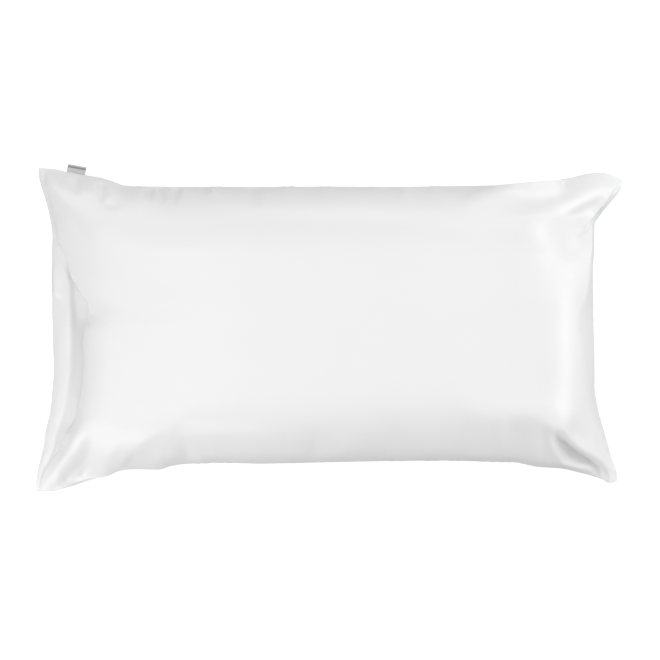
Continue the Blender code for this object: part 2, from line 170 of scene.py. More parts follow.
# The slack cloth at each end, from the bottom tip to the top one. Going in from the seam
# it rises over a shoulder to a crest, drops to a foot, dips on to a tuck and turns up again
# at the front's lip. Where the tuck is further in than the lip, the front overlaps the slack
# cloth. Each point is a distance in from the seam and a rise above it. Sharpness is how
# late the front falls away towards the lip.
EndSection = namedtuple(
    "EndSection",
    "y shoulder_in shoulder_rise crest_in crest_rise foot_in foot_rise tuck_in tuck_rise"
    " lip_in lip_rise sharpness",
)
LEFT_END = (
    EndSection(-246.9, 1.5, 1, 3, 1.5, 3.8, 1.5, 4.5, 1.5, 6, 2, 7),
    EndSection(-229, 3, 2.5, 5, 3.5, 6.2, 3, 7, 2.5, 7.5, 3.5, 9),
    EndSection(-213, 4, 3.5, 8, 4.5, 10.2, 3.5, 11.4, 3, 12, 4, 15),
    EndSection(-201, 6, 4.5, 12, 6, 14.5, 4.5, 16.3, 3, 17, 4.5, 20),
    EndSection(-183, 8, 6, 15, 8.5, 20, 6, 24, 4, 24.2, 7, 26),
    EndSection(-160, 9, 7.5, 17, 10.5, 25, 7, 31, 4, 30.6, 8, 30),
    EndSection(-148, 10, 7.5, 19, 10.5, 29, 7.5, 38, 4, 37, 9, 34),
    EndSection(-132, 11, 9, 21, 12.5, 31, 10, 42, 7, 41, 12, 34),
    EndSection(-114, 12, 10.5, 22.5, 14.5, 33, 12, 44.5, 7, 43.3, 12, 34),
    EndSection(-96, 13, 11.5, 23.5, 15.5, 35, 12.5, 46.5, 7, 45.2, 13, 34),
    EndSection(-69, 12, 12, 25, 17, 36, 12.5, 47.5, 7, 46.2, 13, 34),
    EndSection(-33, 12, 12, 26.5, 17.5, 37, 13, 47.5, 7, 46.2, 13, 34),
    EndSection(-3, 13, 12, 27.5, 17, 38, 12, 50, 6, 49, 14, 34),
    EndSection(17, 14, 9, 27, 15, 38, 10, 58, 4, 56, 19, 30),
    EndSection(32, 13, 8, 27, 14, 37, 10, 62, 4, 58.5, 34, 18),
    EndSection(62, 5, 9, 27, 13, 34, 10, 45, 7, 41, 28, 12),
    EndSection(78, 4, 9, 23, 13, 28, 11, 34, 8, 31, 25, 11),
    EndSection(99, 3, 7, 15, 12, 21, 12, 26, 12, 24, 22, 11),
    EndSection(115, 2, 5, 10, 10, 15, 10.5, 19, 10.5, 17, 17, 12),
    EndSection(136, 1, 3, 3, 6, 4.5, 6.5, 6, 7, 5, 10, 14),
    EndSection(154, 1, 3, 2, 5, 2.5, 6, 3, 7, 4, 9, 16),
    EndSection(202, 1, 3, 2, 5, 2.5, 6, 3, 7, 4, 9, 16),
    EndSection(241.8, 1, 0.5, 2, 1, 2.5, 1.2, 3, 1.5, 4, 2, 16),
)
RIGHT_END = (
    EndSection(-229.8, 1, 0.5, 2, 1, 2.5, 1.2, 3, 1.5, 4, 2, 7),
    EndSection(-183, 1.5, 4, 3, 8, 4, 10, 5, 12, 6, 14, 7),
    EndSection(-153, 2.5, 8, 5, 15, 7, 20, 9, 25, 11, 29, 7),
    EndSection(-123, 3.5, 10, 8, 21, 11, 28, 14.5, 34.5, 18, 41, 7.5),
    EndSection(-98, 4, 12, 9, 25, 13, 34.5, 17, 43, 21, 50, 8),
    EndSection(-33, 5.5, 13.5, 12, 28.5, 17, 39, 22, 49, 27, 57, 8.5),
    EndSection(-7, 6, 14, 13.5, 30.5, 19.5, 42, 25.5, 52, 31.5, 61, 8.5),
    EndSection(12, 6.5, 14.5, 14, 31, 20, 43, 26.5, 53, 32.5, 62, 8.5),
    EndSection(27, 5.5, 13.5, 12, 29, 17, 40, 22.5, 50, 27.5, 58, 8.5),
    EndSection(44, 3.5, 12, 8, 26, 12, 35, 15.5, 44, 19.5, 51, 8),
    EndSection(62, 2, 11, 5, 24, 7.5, 31, 10, 38, 13, 45, 7),
    EndSection(92, 1.5, 11, 4, 23, 5.5, 30, 7.5, 37, 10, 43, 6),
    EndSection(117, 1, 10, 3, 20, 4.5, 27, 6, 33, 8, 39, 5.5),
    EndSection(139, 1, 7, 2.5, 14, 3.5, 19, 4.5, 24, 6, 29, 5.5),
    EndSection(157, 1, 5, 2, 9, 2.7, 12, 3.4, 15, 4.5, 19, 6),
    EndSection(184, 1, 4, 2, 7.5, 2.5, 9, 3, 10.5, 4, 12, 7),
    EndSection(207, 1, 3, 2, 5.5, 2.5, 6.5, 3, 7.5, 4, 9, 7),
    EndSection(220.6, 1, 0.5, 2, 1, 2.5, 1.2, 3, 1.5, 4, 2, 7),
)
SECTION_PARTS = ("shoulder", "crest", "foot", "tuck", "lip")
SECTION_POINTS = (0.0, 0.2, 0.42, 0.6, 0.82, 1.0)  # the seam, then the parts above
TIP_SHARE = 0.012  # how much of the long sides each end's slack cloth takes at the tips
TIP_FADE = 8  # how soon the bend that takes a lip to its tip dies out along the end
# Grid rows and columns are even at 0 and crowd towards the seams and lips up to 1.
ROW_CROWDING = 0.62
COLUMN_CROWDING = 0.80

# How the stuffing fills the case. The front is flatter by the left end than in the middle.
CROWN = 165.0
LEFT_CROWN = 110.0
LEFT_CROWN_REACH = 0.5
BACK_DEPTH = 82.0
FLOOR_ROUNDING = 14.0
LEFT_ROUNDNESS = 0.8
RIGHT_ROUNDNESS = 1.0
BACK_SHOULDER = 7.0
SIDE_SHOULDER = 5.0
SEAM_ROUNDNESS = (0.72, 0.94)  # along the bottom and the top
BACK_ROUNDNESS = 0.6
EAR_EASE = ((2.6, 0.0), (0.0, 0.0))  # less shoulder at the corners, given as below
EAR_REACH = 3
EAR_FLATNESS = ((1.4, 0.2), (0.0, 1.5))  # bottom left and right, top left and right
BACK_EAR_FLATNESS = 0.6
BACK_EAR_REACH = 5

# Soft ridges (height above zero) and troughs (below) in the front, as the camera sees them
# at the seam's height. Each path is points of x, y and height, from the seam inwards, and
# the widths are how far the fold reaches to the path's left and right.
Fold = namedtuple("Fold", "left_width right_width path")
FOLDS = (
    # top left ear
    Fold(6, 6, ((-338, 222, 0), (-339, 213, -6), (-340, 201, -6), (-342, 188, 0))),
    Fold(8, 8, ((-342, 192, 0), (-327, 186, -3), (-310, 182, 0))),
    Fold(12, 12, ((-417, 207, 0), (-402, 188, -1.5), (-378, 153, -3), (-354, 114, 0))),
    Fold(9, 9, ((-378, 232, 0), (-378, 220, -4), (-376, 200, 0))),
    Fold(
        18, 18,
        (
            (-424, 236, 0), (-406, 219, -4), (-384, 200, -6), (-363, 188, -5), (-345, 174, -3),
            (-330, 159, 0),
        ),
    ),
    Fold(10, 12, ((-306, 212, 0), (-291, 196, 2.5), (-264, 171, 0))),
    # puckers along the top
    Fold(4.5, 4.5, ((-267, 214, 0), (-267, 212, -4), (-267, 204, -5.5), (-268, 189, 0))),
    Fold(5, 5, ((-252, 214, 0), (-252, 212, -4), (-250, 201, -5.5), (-248, 184, 0))),
    Fold(4.5, 4.5, ((-228, 214, 0), (-228, 212, -4.5), (-230, 200, -6), (-232, 184, 0))),
    Fold(4, 4, ((-214, 214, 0), (-214, 212, 3), (-214, 206, 3), (-214, 194, 0))),
    Fold(5, 5, ((-172, 214, 0), (-172, 212, 3), (-172, 206, 3), (-172, 194, 0))),
    Fold(9, 9, ((-108, 214, 0), (-108, 210, -3), (-111, 198, -3), (-114, 180, 0))),
    Fold(7, 7, ((116, 214, 0), (116, 212, 3), (116, 206, 3), (111, 186, 0))),
    # top right ear
    Fold(10, 10, ((378, 207, 0), (351, 198, -1.5), (303, 184, -1), (234, 171, 0))),
    Fold(11, 12, ((429, 218, 0), (410, 206, 3), (382, 194, 1.5), (360, 183, 1.5), (338, 171, 0))),
    Fold(
        16, 30,
        (
            (426, 216, 0), (408, 208, 3), (384, 198, 5), (354, 183, 3.5), (328, 162, 5),
            (316, 136, 4), (312, 110, 0),
        ),
    ),
    Fold(
        50, 40,
        (
            (326, 184, 0), (315, 154, 5), (310, 124, 9), (310, 87, 10), (315, 42, 8),
            (322, -3, 6), (327, -56, 6), (333, -100, 5), (342, -138, 4), (357, -171, 0),
        ),
    ),
    Fold(18, 14, ((411, 198, 0), (392, 182, -3), (370, 159, -5), (360, 132, -4), (356, 99, 0))),
    Fold(4, 4, ((430, 212, 0), (423, 200, 2.5), (394, 160, 3), (378, 144, 0))),
    Fold(
        3, 3,
        (
            (436, 214, 0), (422, 193, -3), (405, 170, -4), (396, 159, -4), (386, 146, -4),
            (374, 134, 0),
        ),
    ),
    # bottom right ear
    Fold(
        6, 10,
        (
            (429, -226, 0), (412, -206, 8), (388, -186, 10), (366, -171, 9), (352, -154, 5),
            (342, -138, 0),
        ),
    ),
    Fold(24, 26, ((370, -162, 0), (342, -144, 2), (315, -126, 2), (280, -108, 0))),
    Fold(
        8, 8,
        (
            (418, -228, 0), (413, -221, -6), (409, -214, -11), (402, -208, -14),
            (392, -202, -17), (381, -197, -19), (370, -190, -20), (362, -182, -18),
            (354, -174, -13), (346, -165, -7), (338, -153, 0),
        ),
    ),
    Fold(
        6, 4,
        (
            (408, -218, 0), (399, -213, 4), (387, -208, 7), (375, -206, 8), (363, -202, 8),
            (352, -199, 7), (344, -190, 4), (339, -178, 2), (333, -165, 0),
        ),
    ),
    Fold(10, 10, ((393, -111, 0), (396, -153, -2), (408, -201, 0))),
    # along the bottom
    Fold(
        24, 15,
        (
            (-345, -222, 0), (-324, -206, 4), (-300, -188, 6), (-276, -166, 6), (-249, -146, 4),
            (-207, -129, 2), (-150, -114, 0),
        ),
    ),
    Fold(6, 6, ((-300, -210, 0), (-296, -200, -3), (-286, -183, 0))),
    Fold(6, 6, ((-234, -202, 0), (-234, -192, 2.5), (-234, -171, 0))),
    Fold(8, 8, ((-208, -201, 0), (-212, -189, -3), (-220, -162, 0))),
    Fold(5, 5, ((-189, -201, 0), (-189, -195, 2), (-189, -183, 0))),
    Fold(5, 5, ((-171, -201, 0), (-171, -194, 2), (-171, -182, 0))),
    Fold(16, 16, ((-22, -201, 0), (-22, -180, -4), (-22, -141, 0))),
    Fold(14, 14, ((26, -201, 0), (26, -180, 3.5), (24, -147, 0))),
    Fold(18, 18, ((90, -198, 0), (90, -171, -3), (90, -126, 0))),
    Fold(14, 14, ((146, -198, 0), (144, -174, 2), (141, -138, 0))),
    Fold(12, 12, ((202, -198, 0), (202, -168, -3), (200, -111, 0))),
    Fold(
        9, 26,
        (
            (370, -207, 0), (348, -201, 2), (326, -198, 4), (288, -192, 4), (243, -188, 4),
            (198, -186, 3), (123, -186, 0),
        ),
    ),
    Fold(10, 10, ((258, -198, 0), (258, -162, 3), (256, -126, 0))),
    Fold(9, 9, ((324, -201, 0), (322, -171, -3), (320, -138, 0))),
    Fold(30, 26, ((176, -124, 0), (236, -130, 5), (303, -128, 9), (345, -140, 6), (369, -154, 0))),
    # bottom left ear
    Fold(
        13, 26,
        (
            (-402, -238, 0), (-382, -224, -6), (-364, -202, -7), (-356, -180, -5),
            (-350, -159, -2), (-345, -138, 0),
        ),
    ),
    Fold(16, 14, ((-357, -228, 0), (-345, -216, 1.5), (-336, -195, 1.5), (-330, -168, 0))),
    Fold(5, 5, ((-398, -237, 0), (-393, -228, -1.5), (-388, -219, 0))),
    Fold(5, 5, ((-370, -230, 0), (-368, -222, -2.5), (-363, -208, 0))),
    Fold(5, 5, ((-411, -237, 0), (-406, -228, 2), (-399, -216, 0))),
    Fold(
        14, 6,
        (
            (-363, -130, 0), (-370, -150, 3), (-384, -177, 5), (-402, -204, 5), (-417, -224, 3),
            (-432, -242, 0),
        ),
    ),
)

# A terrace by the top right ear, given as the folds are but raised straight up, so that
# the outline stays. Its path lies just outside the seam.
SWELLS = (
    Fold(
        22, 8,
        (
            (360, 232, 0), (351, 231, 6), (345, 230, 22), (338, 229, 34), (310, 226, 39),
            (288, 224, 37), (266, 218, 31), (246, 210, 22), (226, 201, 12), (201, 189, 0),
        ),
    ),
)
FOLD_STEPS = 40
FOLD_REACH = 3  # in widths: further away a fold is too low to count
FOLD_UPRIGHTNESS = 0.8  # how far folds rise straight up, rather than square to the cloth
FOLD_CLEAR_OF_SEAM = 2.0

# Small unevenness of sewn satin: puckers that start at the seam, and a slow wander
PUCKER_LENGTH = 17.0
PUCKER_HEIGHT = 1.4
PUCKER_REACH = 26.0
WANDER_LENGTH = 70.0
WANDER_HEIGHT = 0.6
FRONT_SEED = 3.0
BACK_SEED = 11.0
BACK_FADE = 20.0  # the back gets smoother below this height, and lies flat on the floor
RIM_STRIDE = 3  # every third point of the rim is enough to find the nearest
BLOCK = 4096  # points compared with the rim at one time
TINY = 1e-12

# The seam: the front and the back meet at a rim of this thickness.
RIM_THICKNESS = 1.6

# ---------------------------------------------------------------- the tab's shape, in mm

TAB_ALONG = 0.0665  # on the top edge, from the left tip to the right one
TAB_WIDTH = 28.0
TAB_STAND_OUT = 11.6
TAB_THICKNESS = 0.6
TAB_LAYER_GAP = 0.8
TAB_CLEARANCE = 0.1
TAB_COLUMNS = 28
TAB_LAYER_ROWS = 12
TAB_TURN_ROWS = 8

# ---------------------------------------------------------------- weaves

FLOAT_LENGTH = 0.009  # of the satin's warp floats, and below how far apart they lie
FLOAT_SPACING = 0.0012
# Where the tape's stripe fades in, starts, ends and has faded out, as shares of its length
TAPE_STRIPE = (0.27, 0.29, 0.39, 0.41)

# ---------------------------------------------------------------- studio

# Soft boxes round the pillow, all aimed at it: the way it lies from above, its height as
# an angle, the side of its square face in metres, and its power in watts.
SoftBox = namedtuple("SoftBox", "azimuth elevation size watts")
SOFT_BOXES = (
    SoftBox(0, 90, 2.0, 16.0),
    SoftBox(0, 12, 0.7, 8.5),
    SoftBox(0, 30, 0.9, 1.5),
    SoftBox(0, 55, 1.2, 2.0),
    SoftBox(30, 30, 0.9, 10.5),
    SoftBox(60, 30, 0.9, 9.5),
    SoftBox(90, 12, 0.7, 5.5),
    SoftBox(90, 30, 0.9, 0.5),
    SoftBox(120, 30, 0.9, 5.0),
    SoftBox(135, 12, 0.7, 5.0),
    SoftBox(180, 12, 0.7, 1.0),
    SoftBox(180, 55, 1.2, 9.5),
    SoftBox(210, 30, 0.9, 9.0),
    SoftBox(225, 12, 0.7, 4.5),
    SoftBox(225, 55, 1.2, 1.0),
    SoftBox(240, 30, 0.9, 10.5),
    SoftBox(270, 30, 0.9, 0.5),
    SoftBox(315, 12, 0.7, 7.0),
    SoftBox(330, 30, 0.9, 4.0),
)
SOFT_BOX_DISTANCE = 2.2
SOFT_BOX_AIM = (0.0, 0.0, 0.1)
SKY_STRENGTH = 0.0
FLOOR_SIZE = 12.0
FLOOR_GLOW = 0.70  # keeps the studio floor white in the picture

CAMERA_HEIGHT = 3.0
CAMERA_CENTRE = (0.003, -0.003)
PHOTO_WIDTH = 0.9895  # metres across the picture at the seam's height
SEAM_HEIGHT = 0.06
SENSOR_WIDTH = 36.0


# ---------------------------------------------------------------- colour and node helpers


def srgb(hex_code):
    """A linear colour, with alpha, from an sRGB hex code."""
    parts = [int(hex_code[i : i + 2], 16) / 255 for i in (1, 3, 5)]
    return [
        c / 12.92 if c <= 0.04045 else ((c + 0.055) / 1.055) ** 2.4 for c in parts
    ] + [1.0]


def add_node(tree, kind, settings=None, **inputs):
    """Adds a node. Settings are its own; inputs are values, or sockets to link from."""
    node = tree.nodes.new(kind)
    for name, value in (settings or {}).items():
        setattr(node, name, value)
    for name, value in inputs.items():
        socket = node.inputs[name.replace("_", " ")]
        if isinstance(value, bpy.types.NodeSocket):
            tree.links.new(value, socket)
        else:
            socket.default_value = value
    return node


def new_material(name):
    """An empty node material with its Principled shader wired to the output."""
    material = bpy.data.materials.new(name)
    material.use_nodes = True
    tree = material.node_tree
    tree.nodes.clear()
    shader = add_node(tree, "ShaderNodeBsdfPrincipled")
    add_node(tree, "ShaderNodeOutputMaterial", Surface=shader.outputs["BSDF"])
    return material, tree, shader


# ---------------------------------------------------------------- shape helpers


def curve_through(knots, values, at):
    """A smooth curve that passes each value at its knot and never swings past it."""
    knots, values, at = map(lambda given: np.asarray(given, float), (knots, values, at))
    sides = (-1,) + (1,) * (values.ndim - 1)
    steps = np.diff(knots).reshape(sides)
    rises = np.diff(values, axis=0) / steps
    slopes = np.zeros(values.shape)
    slopes[0], slopes[-1] = rises[0], rises[-1]
    before, after = rises[:-1], rises[1:]
    same_way = before * after > 0
    slopes[1:-1][same_way] = (2 * before * after)[same_way] / (before + after)[same_way]
    span = np.clip(np.searchsorted(knots, at, side="right") - 1, 0, len(knots) - 2)
    share = ((at - knots[span]) / np.diff(knots)[span]).reshape(sides)
    start = values[span] * (1 + 2 * share) * (1 - share) ** 2
    end = values[span + 1] * share**2 * (3 - 2 * share)
    leaving = slopes[span] * steps[span] * share * (1 - share) ** 2
    arriving = slopes[span + 1] * steps[span] * share**2 * (1 - share)
    return start + end + leaving - arriving


def column(table, name):
    return np.array([getattr(row, name) for row in table], float)


def seam_line(edge, start, end, inward, along):
    """Points of one side's seam from tip to tip, at these shares of its length."""
    straight = np.array(start)[:2] + np.outer(along, np.array(end)[:2] - np.array(start)[:2])
    draw_in = curve_through(column(edge, "along"), column(edge, "draw_in"), along)
    height = curve_through(column(edge, "along"), column(edge, "height"), along)
    return np.column_stack([straight + np.outer(draw_in, inward), height])


def top_seam(along):
    return seam_line(TOP_EDGE, TOP_LEFT, TOP_RIGHT, (0, -1), along)


def bottom_seam(along):
    return seam_line(BOTTOM_EDGE, BOTTOM_LEFT, BOTTOM_RIGHT, (0, 1), along)


def left_seam(along):
    return seam_line(LEFT_EDGE, BOTTOM_LEFT, TOP_LEFT, (1, 0), along)


def right_seam(along):
    return seam_line(RIGHT_EDGE, BOTTOM_RIGHT, TOP_RIGHT, (-1, 0), along)


def crowded(count, crowding):
    """Shares from 0 to 1, closer together at both ends."""
    even = np.linspace(0, 1, count + 1)
    cosine = (1 - np.cos(math.pi * even)) / 2
    return (1 - crowding) * even + crowding * cosine


def blend_between(left, right, bottom, top, across, up):
    """A smooth patch between four border lines (a Coons patch), rows by columns."""
    u, v = across[None, :, None], up[:, None, None]
    sides = (1 - u) * left[:, None] + u * right[:, None]
    ends = (1 - v) * bottom[None] + v * top[None]
    corners = (1 - v) * ((1 - u) * bottom[0] + u * bottom[-1]) + v * (
        (1 - u) * top[0] + u * top[-1]
    )
    return sides + ends - corners


def rounded_end(share, sharpness, roundness):
    """How full the case is at this share of the way from a lip to the far one."""
    to_middle = np.clip(2 * share, 0, 1)
    return (1 - (1 - to_middle) ** sharpness) ** roundness


def front_stuffing(across, up, left_sharpness, right_sharpness):
    """How full the front is, 0 at the lips and seams to 1 in the middle."""
    s, t = np.abs(2 * across - 1)[None, :], np.abs(2 * up - 1)[:, None]
    left = rounded_end(across[None], left_sharpness[:, None], LEFT_ROUNDNESS)
    right = rounded_end(1 - across[None], right_sharpness[:, None], RIGHT_ROUNDNESS)
    ends, rows = (across > 0.5).astype(int)[None, :], (up > 0.5).astype(int)[:, None]
    roundness = np.array(SEAM_ROUNDNESS)[rows]
    flatness = np.array(EAR_FLATNESS)[rows, ends]
    shoulder = SIDE_SHOULDER - np.array(EAR_EASE)[rows, ends] * s**2
    sides = (1 - t**shoulder) ** (roundness * (1 + flatness * (s * t) ** EAR_REACH))
    return left * right * sides


def back_stuffing(across, up):
    """How full the back is, 0 at the seam to 1 in the middle."""
    s, t = np.abs(2 * across - 1)[None, :], np.abs(2 * up - 1)[:, None]
    full = (1 - s**BACK_SHOULDER) * (1 - t**SIDE_SHOULDER)
    corner = (s * t) ** BACK_EAR_REACH
    return full ** (BACK_ROUNDNESS + BACK_EAR_FLATNESS * corner)


def level_with(table, up):
    """How far up the frame, in mm, each share of the way up one end is."""
    return table[0].y + (table[-1].y - table[0].y) * up


def end_strip(table, seam, inward, tips, up, columns):
    """The slack cloth of one end, rows by columns, from its seam in to its lip."""
    heights_up = level_with(table, up)
    levels = [np.zeros((len(up), 2))]
    for name in SECTION_PARTS:
        pair = np.column_stack([column(table, name + "_in"), column(table, name + "_rise")])
        levels.append(curve_through(column(table, "y"), pair, heights_up))
    shares = np.linspace(0, 1, columns + 1)
    section = curve_through(SECTION_POINTS, np.array(levels), shares)
    strip = np.repeat(seam[:, None], columns + 1, axis=1)
    strip[..., 0] += inward * section[..., 0].T
    strip[..., 2] += section[..., 1].T
    # at the tips the lip ends on the long sides' seams, which slope
    bottom, top = tips
    for tip, fade in ((bottom, (1 - up) ** TIP_FADE), (top, up**TIP_FADE)):
        at_tip = strip[0] if tip is bottom else strip[-1]
        miss = (tip - at_tip[-1])[None, None] * fade[:, None, None]
        strip = strip + miss * shares[None, :, None]
    return strip


def smooth_path(path):
    """A smooth line of points through a fold's path, with heights that never overshoot."""
    path = np.array(path, float)
    steps = np.linalg.norm(np.diff(path[:, :2], axis=0), axis=1)
    along = np.concatenate([[0], np.cumsum(steps)])
    return curve_through(along, path, np.linspace(0, along[-1], FOLD_STEPS + 1))


def as_seen(points):
    """Where the camera sees these points, in mm at the seam's height."""
    centre = np.array(CAMERA_CENTRE) / MM
    high, seam = CAMERA_HEIGHT / MM, SEAM_HEIGHT / MM
    spread = (high - seam) / (high - points[..., 2:])
    return centre + (points[..., :2] - centre) * spread


def fold_relief(points, folds):
    """How far the folds raise the cloth at these points, summed."""
    seen = as_seen(points)
    relief = np.zeros(points.shape[:-1])
    for fold in folds:
        line = smooth_path(fold.path)
        reach = FOLD_REACH * max(fold.left_width, fold.right_width)
        low, high = line[:, :2].min(0) - reach, line[:, :2].max(0) + reach
        near = np.all((seen > low) & (seen < high), axis=-1)
        spots = seen[near]
        if not len(spots):
            continue
        starts, steps = line[:-1], np.diff(line, axis=0)
        offsets = spots[:, None] - starts[None, :, :2]
        length = (steps[:, :2] ** 2).sum(1)
        share = np.clip((offsets * steps[:, :2]).sum(-1) / length, 0, 1)
        misses = offsets - share[..., None] * steps[:, :2]
        gaps = (misses**2).sum(-1)
        best = gaps.argmin(1)
        pick = np.arange(len(spots)), best
        miss, step = misses[pick], steps[best]
        height = line[best, 2] + share[pick] * step[:, 2]
        to_left = step[:, 0] * miss[:, 1] - step[:, 1] * miss[:, 0] > 0
        width = np.where(to_left, fold.left_width, fold.right_width)
        relief[near] += height * np.exp(-gaps[pick] / width**2)
    return relief


def cloth_normals(points):
    """The upward normal of a grid of cloth at each point."""
    across = np.gradient(points, axis=1)
    up = np.gradient(points, axis=0)
    normals = np.cross(across, up)
    return normals / np.maximum(np.linalg.norm(normals, axis=-1, keepdims=True), TINY)


def along_shares(end_columns, panel_columns):
    """The grid's shares along the long sides, tip to tip."""
    end_shares = np.linspace(0, TIP_SHARE, end_columns + 1)
    across = crowded(panel_columns, COLUMN_CROWDING)
    panel_shares = TIP_SHARE + (1 - 2 * TIP_SHARE) * across
    return np.concatenate([end_shares, panel_shares[1:-1], 1 - end_shares[::-1]])


def front_points(rows, end_columns, panel_columns):
    up = crowded(rows, ROW_CROWDING)
    across = crowded(panel_columns, COLUMN_CROWDING)
    tip_shares = np.array([TIP_SHARE, 1 - TIP_SHARE])
    bottom_tips, top_tips = bottom_seam(tip_shares), top_seam(tip_shares)
    left = end_strip(
        LEFT_END, left_seam(up), 1, (bottom_tips[0], top_tips[0]), up, end_columns
    )
    right = end_strip(
        RIGHT_END, right_seam(up), -1, (bottom_tips[1], top_tips[1]), up, end_columns
    )
    along = TIP_SHARE + (1 - 2 * TIP_SHARE) * across
    panel = blend_between(
        left[:, -1], right[:, -1], bottom_seam(along), top_seam(along), across, up
    )
    left_sharpness, right_sharpness = (
        curve_through(column(table, "y"), column(table, "sharpness"), level_with(table, up))
        for table in (LEFT_END, RIGHT_END)
    )
    full = front_stuffing(across, up, left_sharpness, right_sharpness)
    by_left = np.clip(1 - across / LEFT_CROWN_REACH, 0, 1) ** 2
    crown = CROWN - (CROWN - LEFT_CROWN) * by_left
    panel[..., 2] += (crown - panel[..., 2]) * full
    # the end strips' first and last rows follow the seams of the long sides
    end_shares = np.linspace(0, TIP_SHARE, end_columns + 1)
    for row, seam in ((0, bottom_seam), (-1, top_seam)):
        left[row], right[row] = seam(end_shares), seam(1 - end_shares)
    points = np.concatenate([left, panel[:, 1:-1], right[:, ::-1]], axis=1)
    from_seam = np.minimum(up, 1 - up)[:, None] * (TOP_LEFT.y - BOTTOM_LEFT.y)
    free = np.clip(from_seam / FOLD_CLEAR_OF_SEAM, 0, 1)
    points[..., 2] += fold_relief(points, SWELLS) * free
    upright = cloth_normals(points) + np.array([0, 0, FOLD_UPRIGHTNESS])
    upright /= np.linalg.norm(upright, axis=-1, keepdims=True)
    points += upright * (fold_relief(points, FOLDS) * free)[..., None]
    return points


def back_points(rows, end_columns, panel_columns):
    up = crowded(rows, ROW_CROWDING)
    along = along_shares(end_columns, panel_columns)
    points = blend_between(
        left_seam(up), right_seam(up), bottom_seam(along), top_seam(along), along, up
    )
    seam_height = points[..., 2].copy()
    hang = np.maximum(seam_height - BACK_DEPTH * back_stuffing(along, up), 0)
    rolled = hang**2 / (hang + FLOOR_ROUNDING)
    at_seam = seam_height / (seam_height + FLOOR_ROUNDING)
    points[..., 2] = rolled / at_seam
    return points


def unevenness(points, seed):
    """Seam puckers and the cloth's slow wander at each point of a grid, in mm."""
    rows, columns = points.shape[:2]
    height = np.zeros((rows, columns))
    rim = np.concatenate([points[0], points[-1], points[:, 0], points[:, -1]])[::RIM_STRIDE]
    for row in range(rows):
        for place in range(columns):
            spot = Vector(points[row, place]) / WANDER_LENGTH
            height[row, place] = WANDER_HEIGHT * noise.noise(spot + Vector((seed, 0, 0)))
    from_rim = np.full((rows, columns), np.inf)
    nearest = np.zeros((rows, columns), int)
    flat = points[..., :2].reshape(-1, 2)
    for start in range(0, len(flat), BLOCK):
        block = slice(start, start + BLOCK)
        gaps = np.linalg.norm(flat[block, None] - rim[None, :, :2], axis=-1)
        nearest.reshape(-1)[block] = gaps.argmin(1)
        from_rim.reshape(-1)[block] = gaps.min(1)
    waves = np.array(
        [noise.noise(Vector(p) / PUCKER_LENGTH + Vector((0, seed, 0))) for p in rim]
    )
    near = np.clip(from_rim / PUCKER_REACH, 0, 1)
    envelope = np.sin(np.pi * np.sqrt(near)) ** 2
    height += PUCKER_HEIGHT * waves[nearest] * envelope
    edge = np.clip(from_rim / FOLD_CLEAR_OF_SEAM, 0, 1)
    return height * edge


def grid_mesh(bm, points, faces_up):
    """Adds a grid with a vertex at each point, and returns its border edges."""
    rows, columns = points.shape[0] - 1, points.shape[1] - 1
    made = bmesh.ops.create_grid(bm, x_segments=columns, y_segments=rows, size=0.5)
    for vert, point in zip(made["verts"], points.reshape(-1, 3)):
        vert.co = point
    faces = {face for vert in made["verts"] for face in vert.link_faces}
    if not faces_up:
        bmesh.ops.reverse_faces(bm, faces=list(faces))
    return [edge for edge in {e for f in faces for e in f.edges} if edge.is_boundary]


def link_piece(name, mesh, node):
    """Puts a finished mesh in the scene in the place of one of the frame's nodes."""
    piece = bpy.data.objects.new(name, mesh)
    bpy.context.scene.collection.objects.link(piece)
    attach(piece, "root")
    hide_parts(node)
    return piece


# ---------------------------------------------------------------- materials


def white_satin(settings):
    """Polyester charmeuse satin, warp floats up.

    The long floats give a soft, broad gloss over a pale matt ground, and hide the weave.
    Threads are about 0.1 mm apart, far too fine to show, so the floats are drawn 1.2 mm
    apart. A much slower crinkle is what is left of the cloth's packing.
    """
    material, tree, shader = new_material("white_charmeuse_satin")
    place = add_node(tree, "ShaderNodeTexCoord").outputs["Object"]
    stretched = add_node(
        tree,
        "ShaderNodeMapping",
        Vector=place,
        Scale=(1 / FLOAT_LENGTH, 1 / FLOAT_SPACING, 1 / FLOAT_SPACING),
    )
    floats = add_node(
        tree,
        "ShaderNodeTexNoise",
        Vector=stretched.outputs["Vector"],
        Scale=1.0,
        Detail=1.0,
        Roughness=0.5,
    )
    crinkle = add_node(
        tree, "ShaderNodeTexNoise", Vector=place, Scale=28.0, Detail=3.0, Roughness=0.45
    )
    weave_bump = add_node(
        tree,
        "ShaderNodeBump",
        Strength=settings.weave_depth,
        Distance=0.00008,
        Height=floats.outputs["Fac"],
    )
    crinkle_bump = add_node(
        tree,
        "ShaderNodeBump",
        Strength=settings.crinkle_depth,
        Distance=0.0008,
        Height=crinkle.outputs["Fac"],
        Normal=weave_bump.outputs["Normal"],
    )
    tree.links.new(crinkle_bump.outputs["Normal"], shader.inputs["Normal"])
    shader.inputs["Base Color"].default_value = list(settings.colour) + [1.0]
    shader.inputs["Roughness"].default_value = settings.roughness
    shader.inputs["IOR"].default_value = 1.5
    shader.inputs["Sheen Weight"].default_value = 0.06
    shader.inputs["Sheen Roughness"].default_value = 0.4
    return material


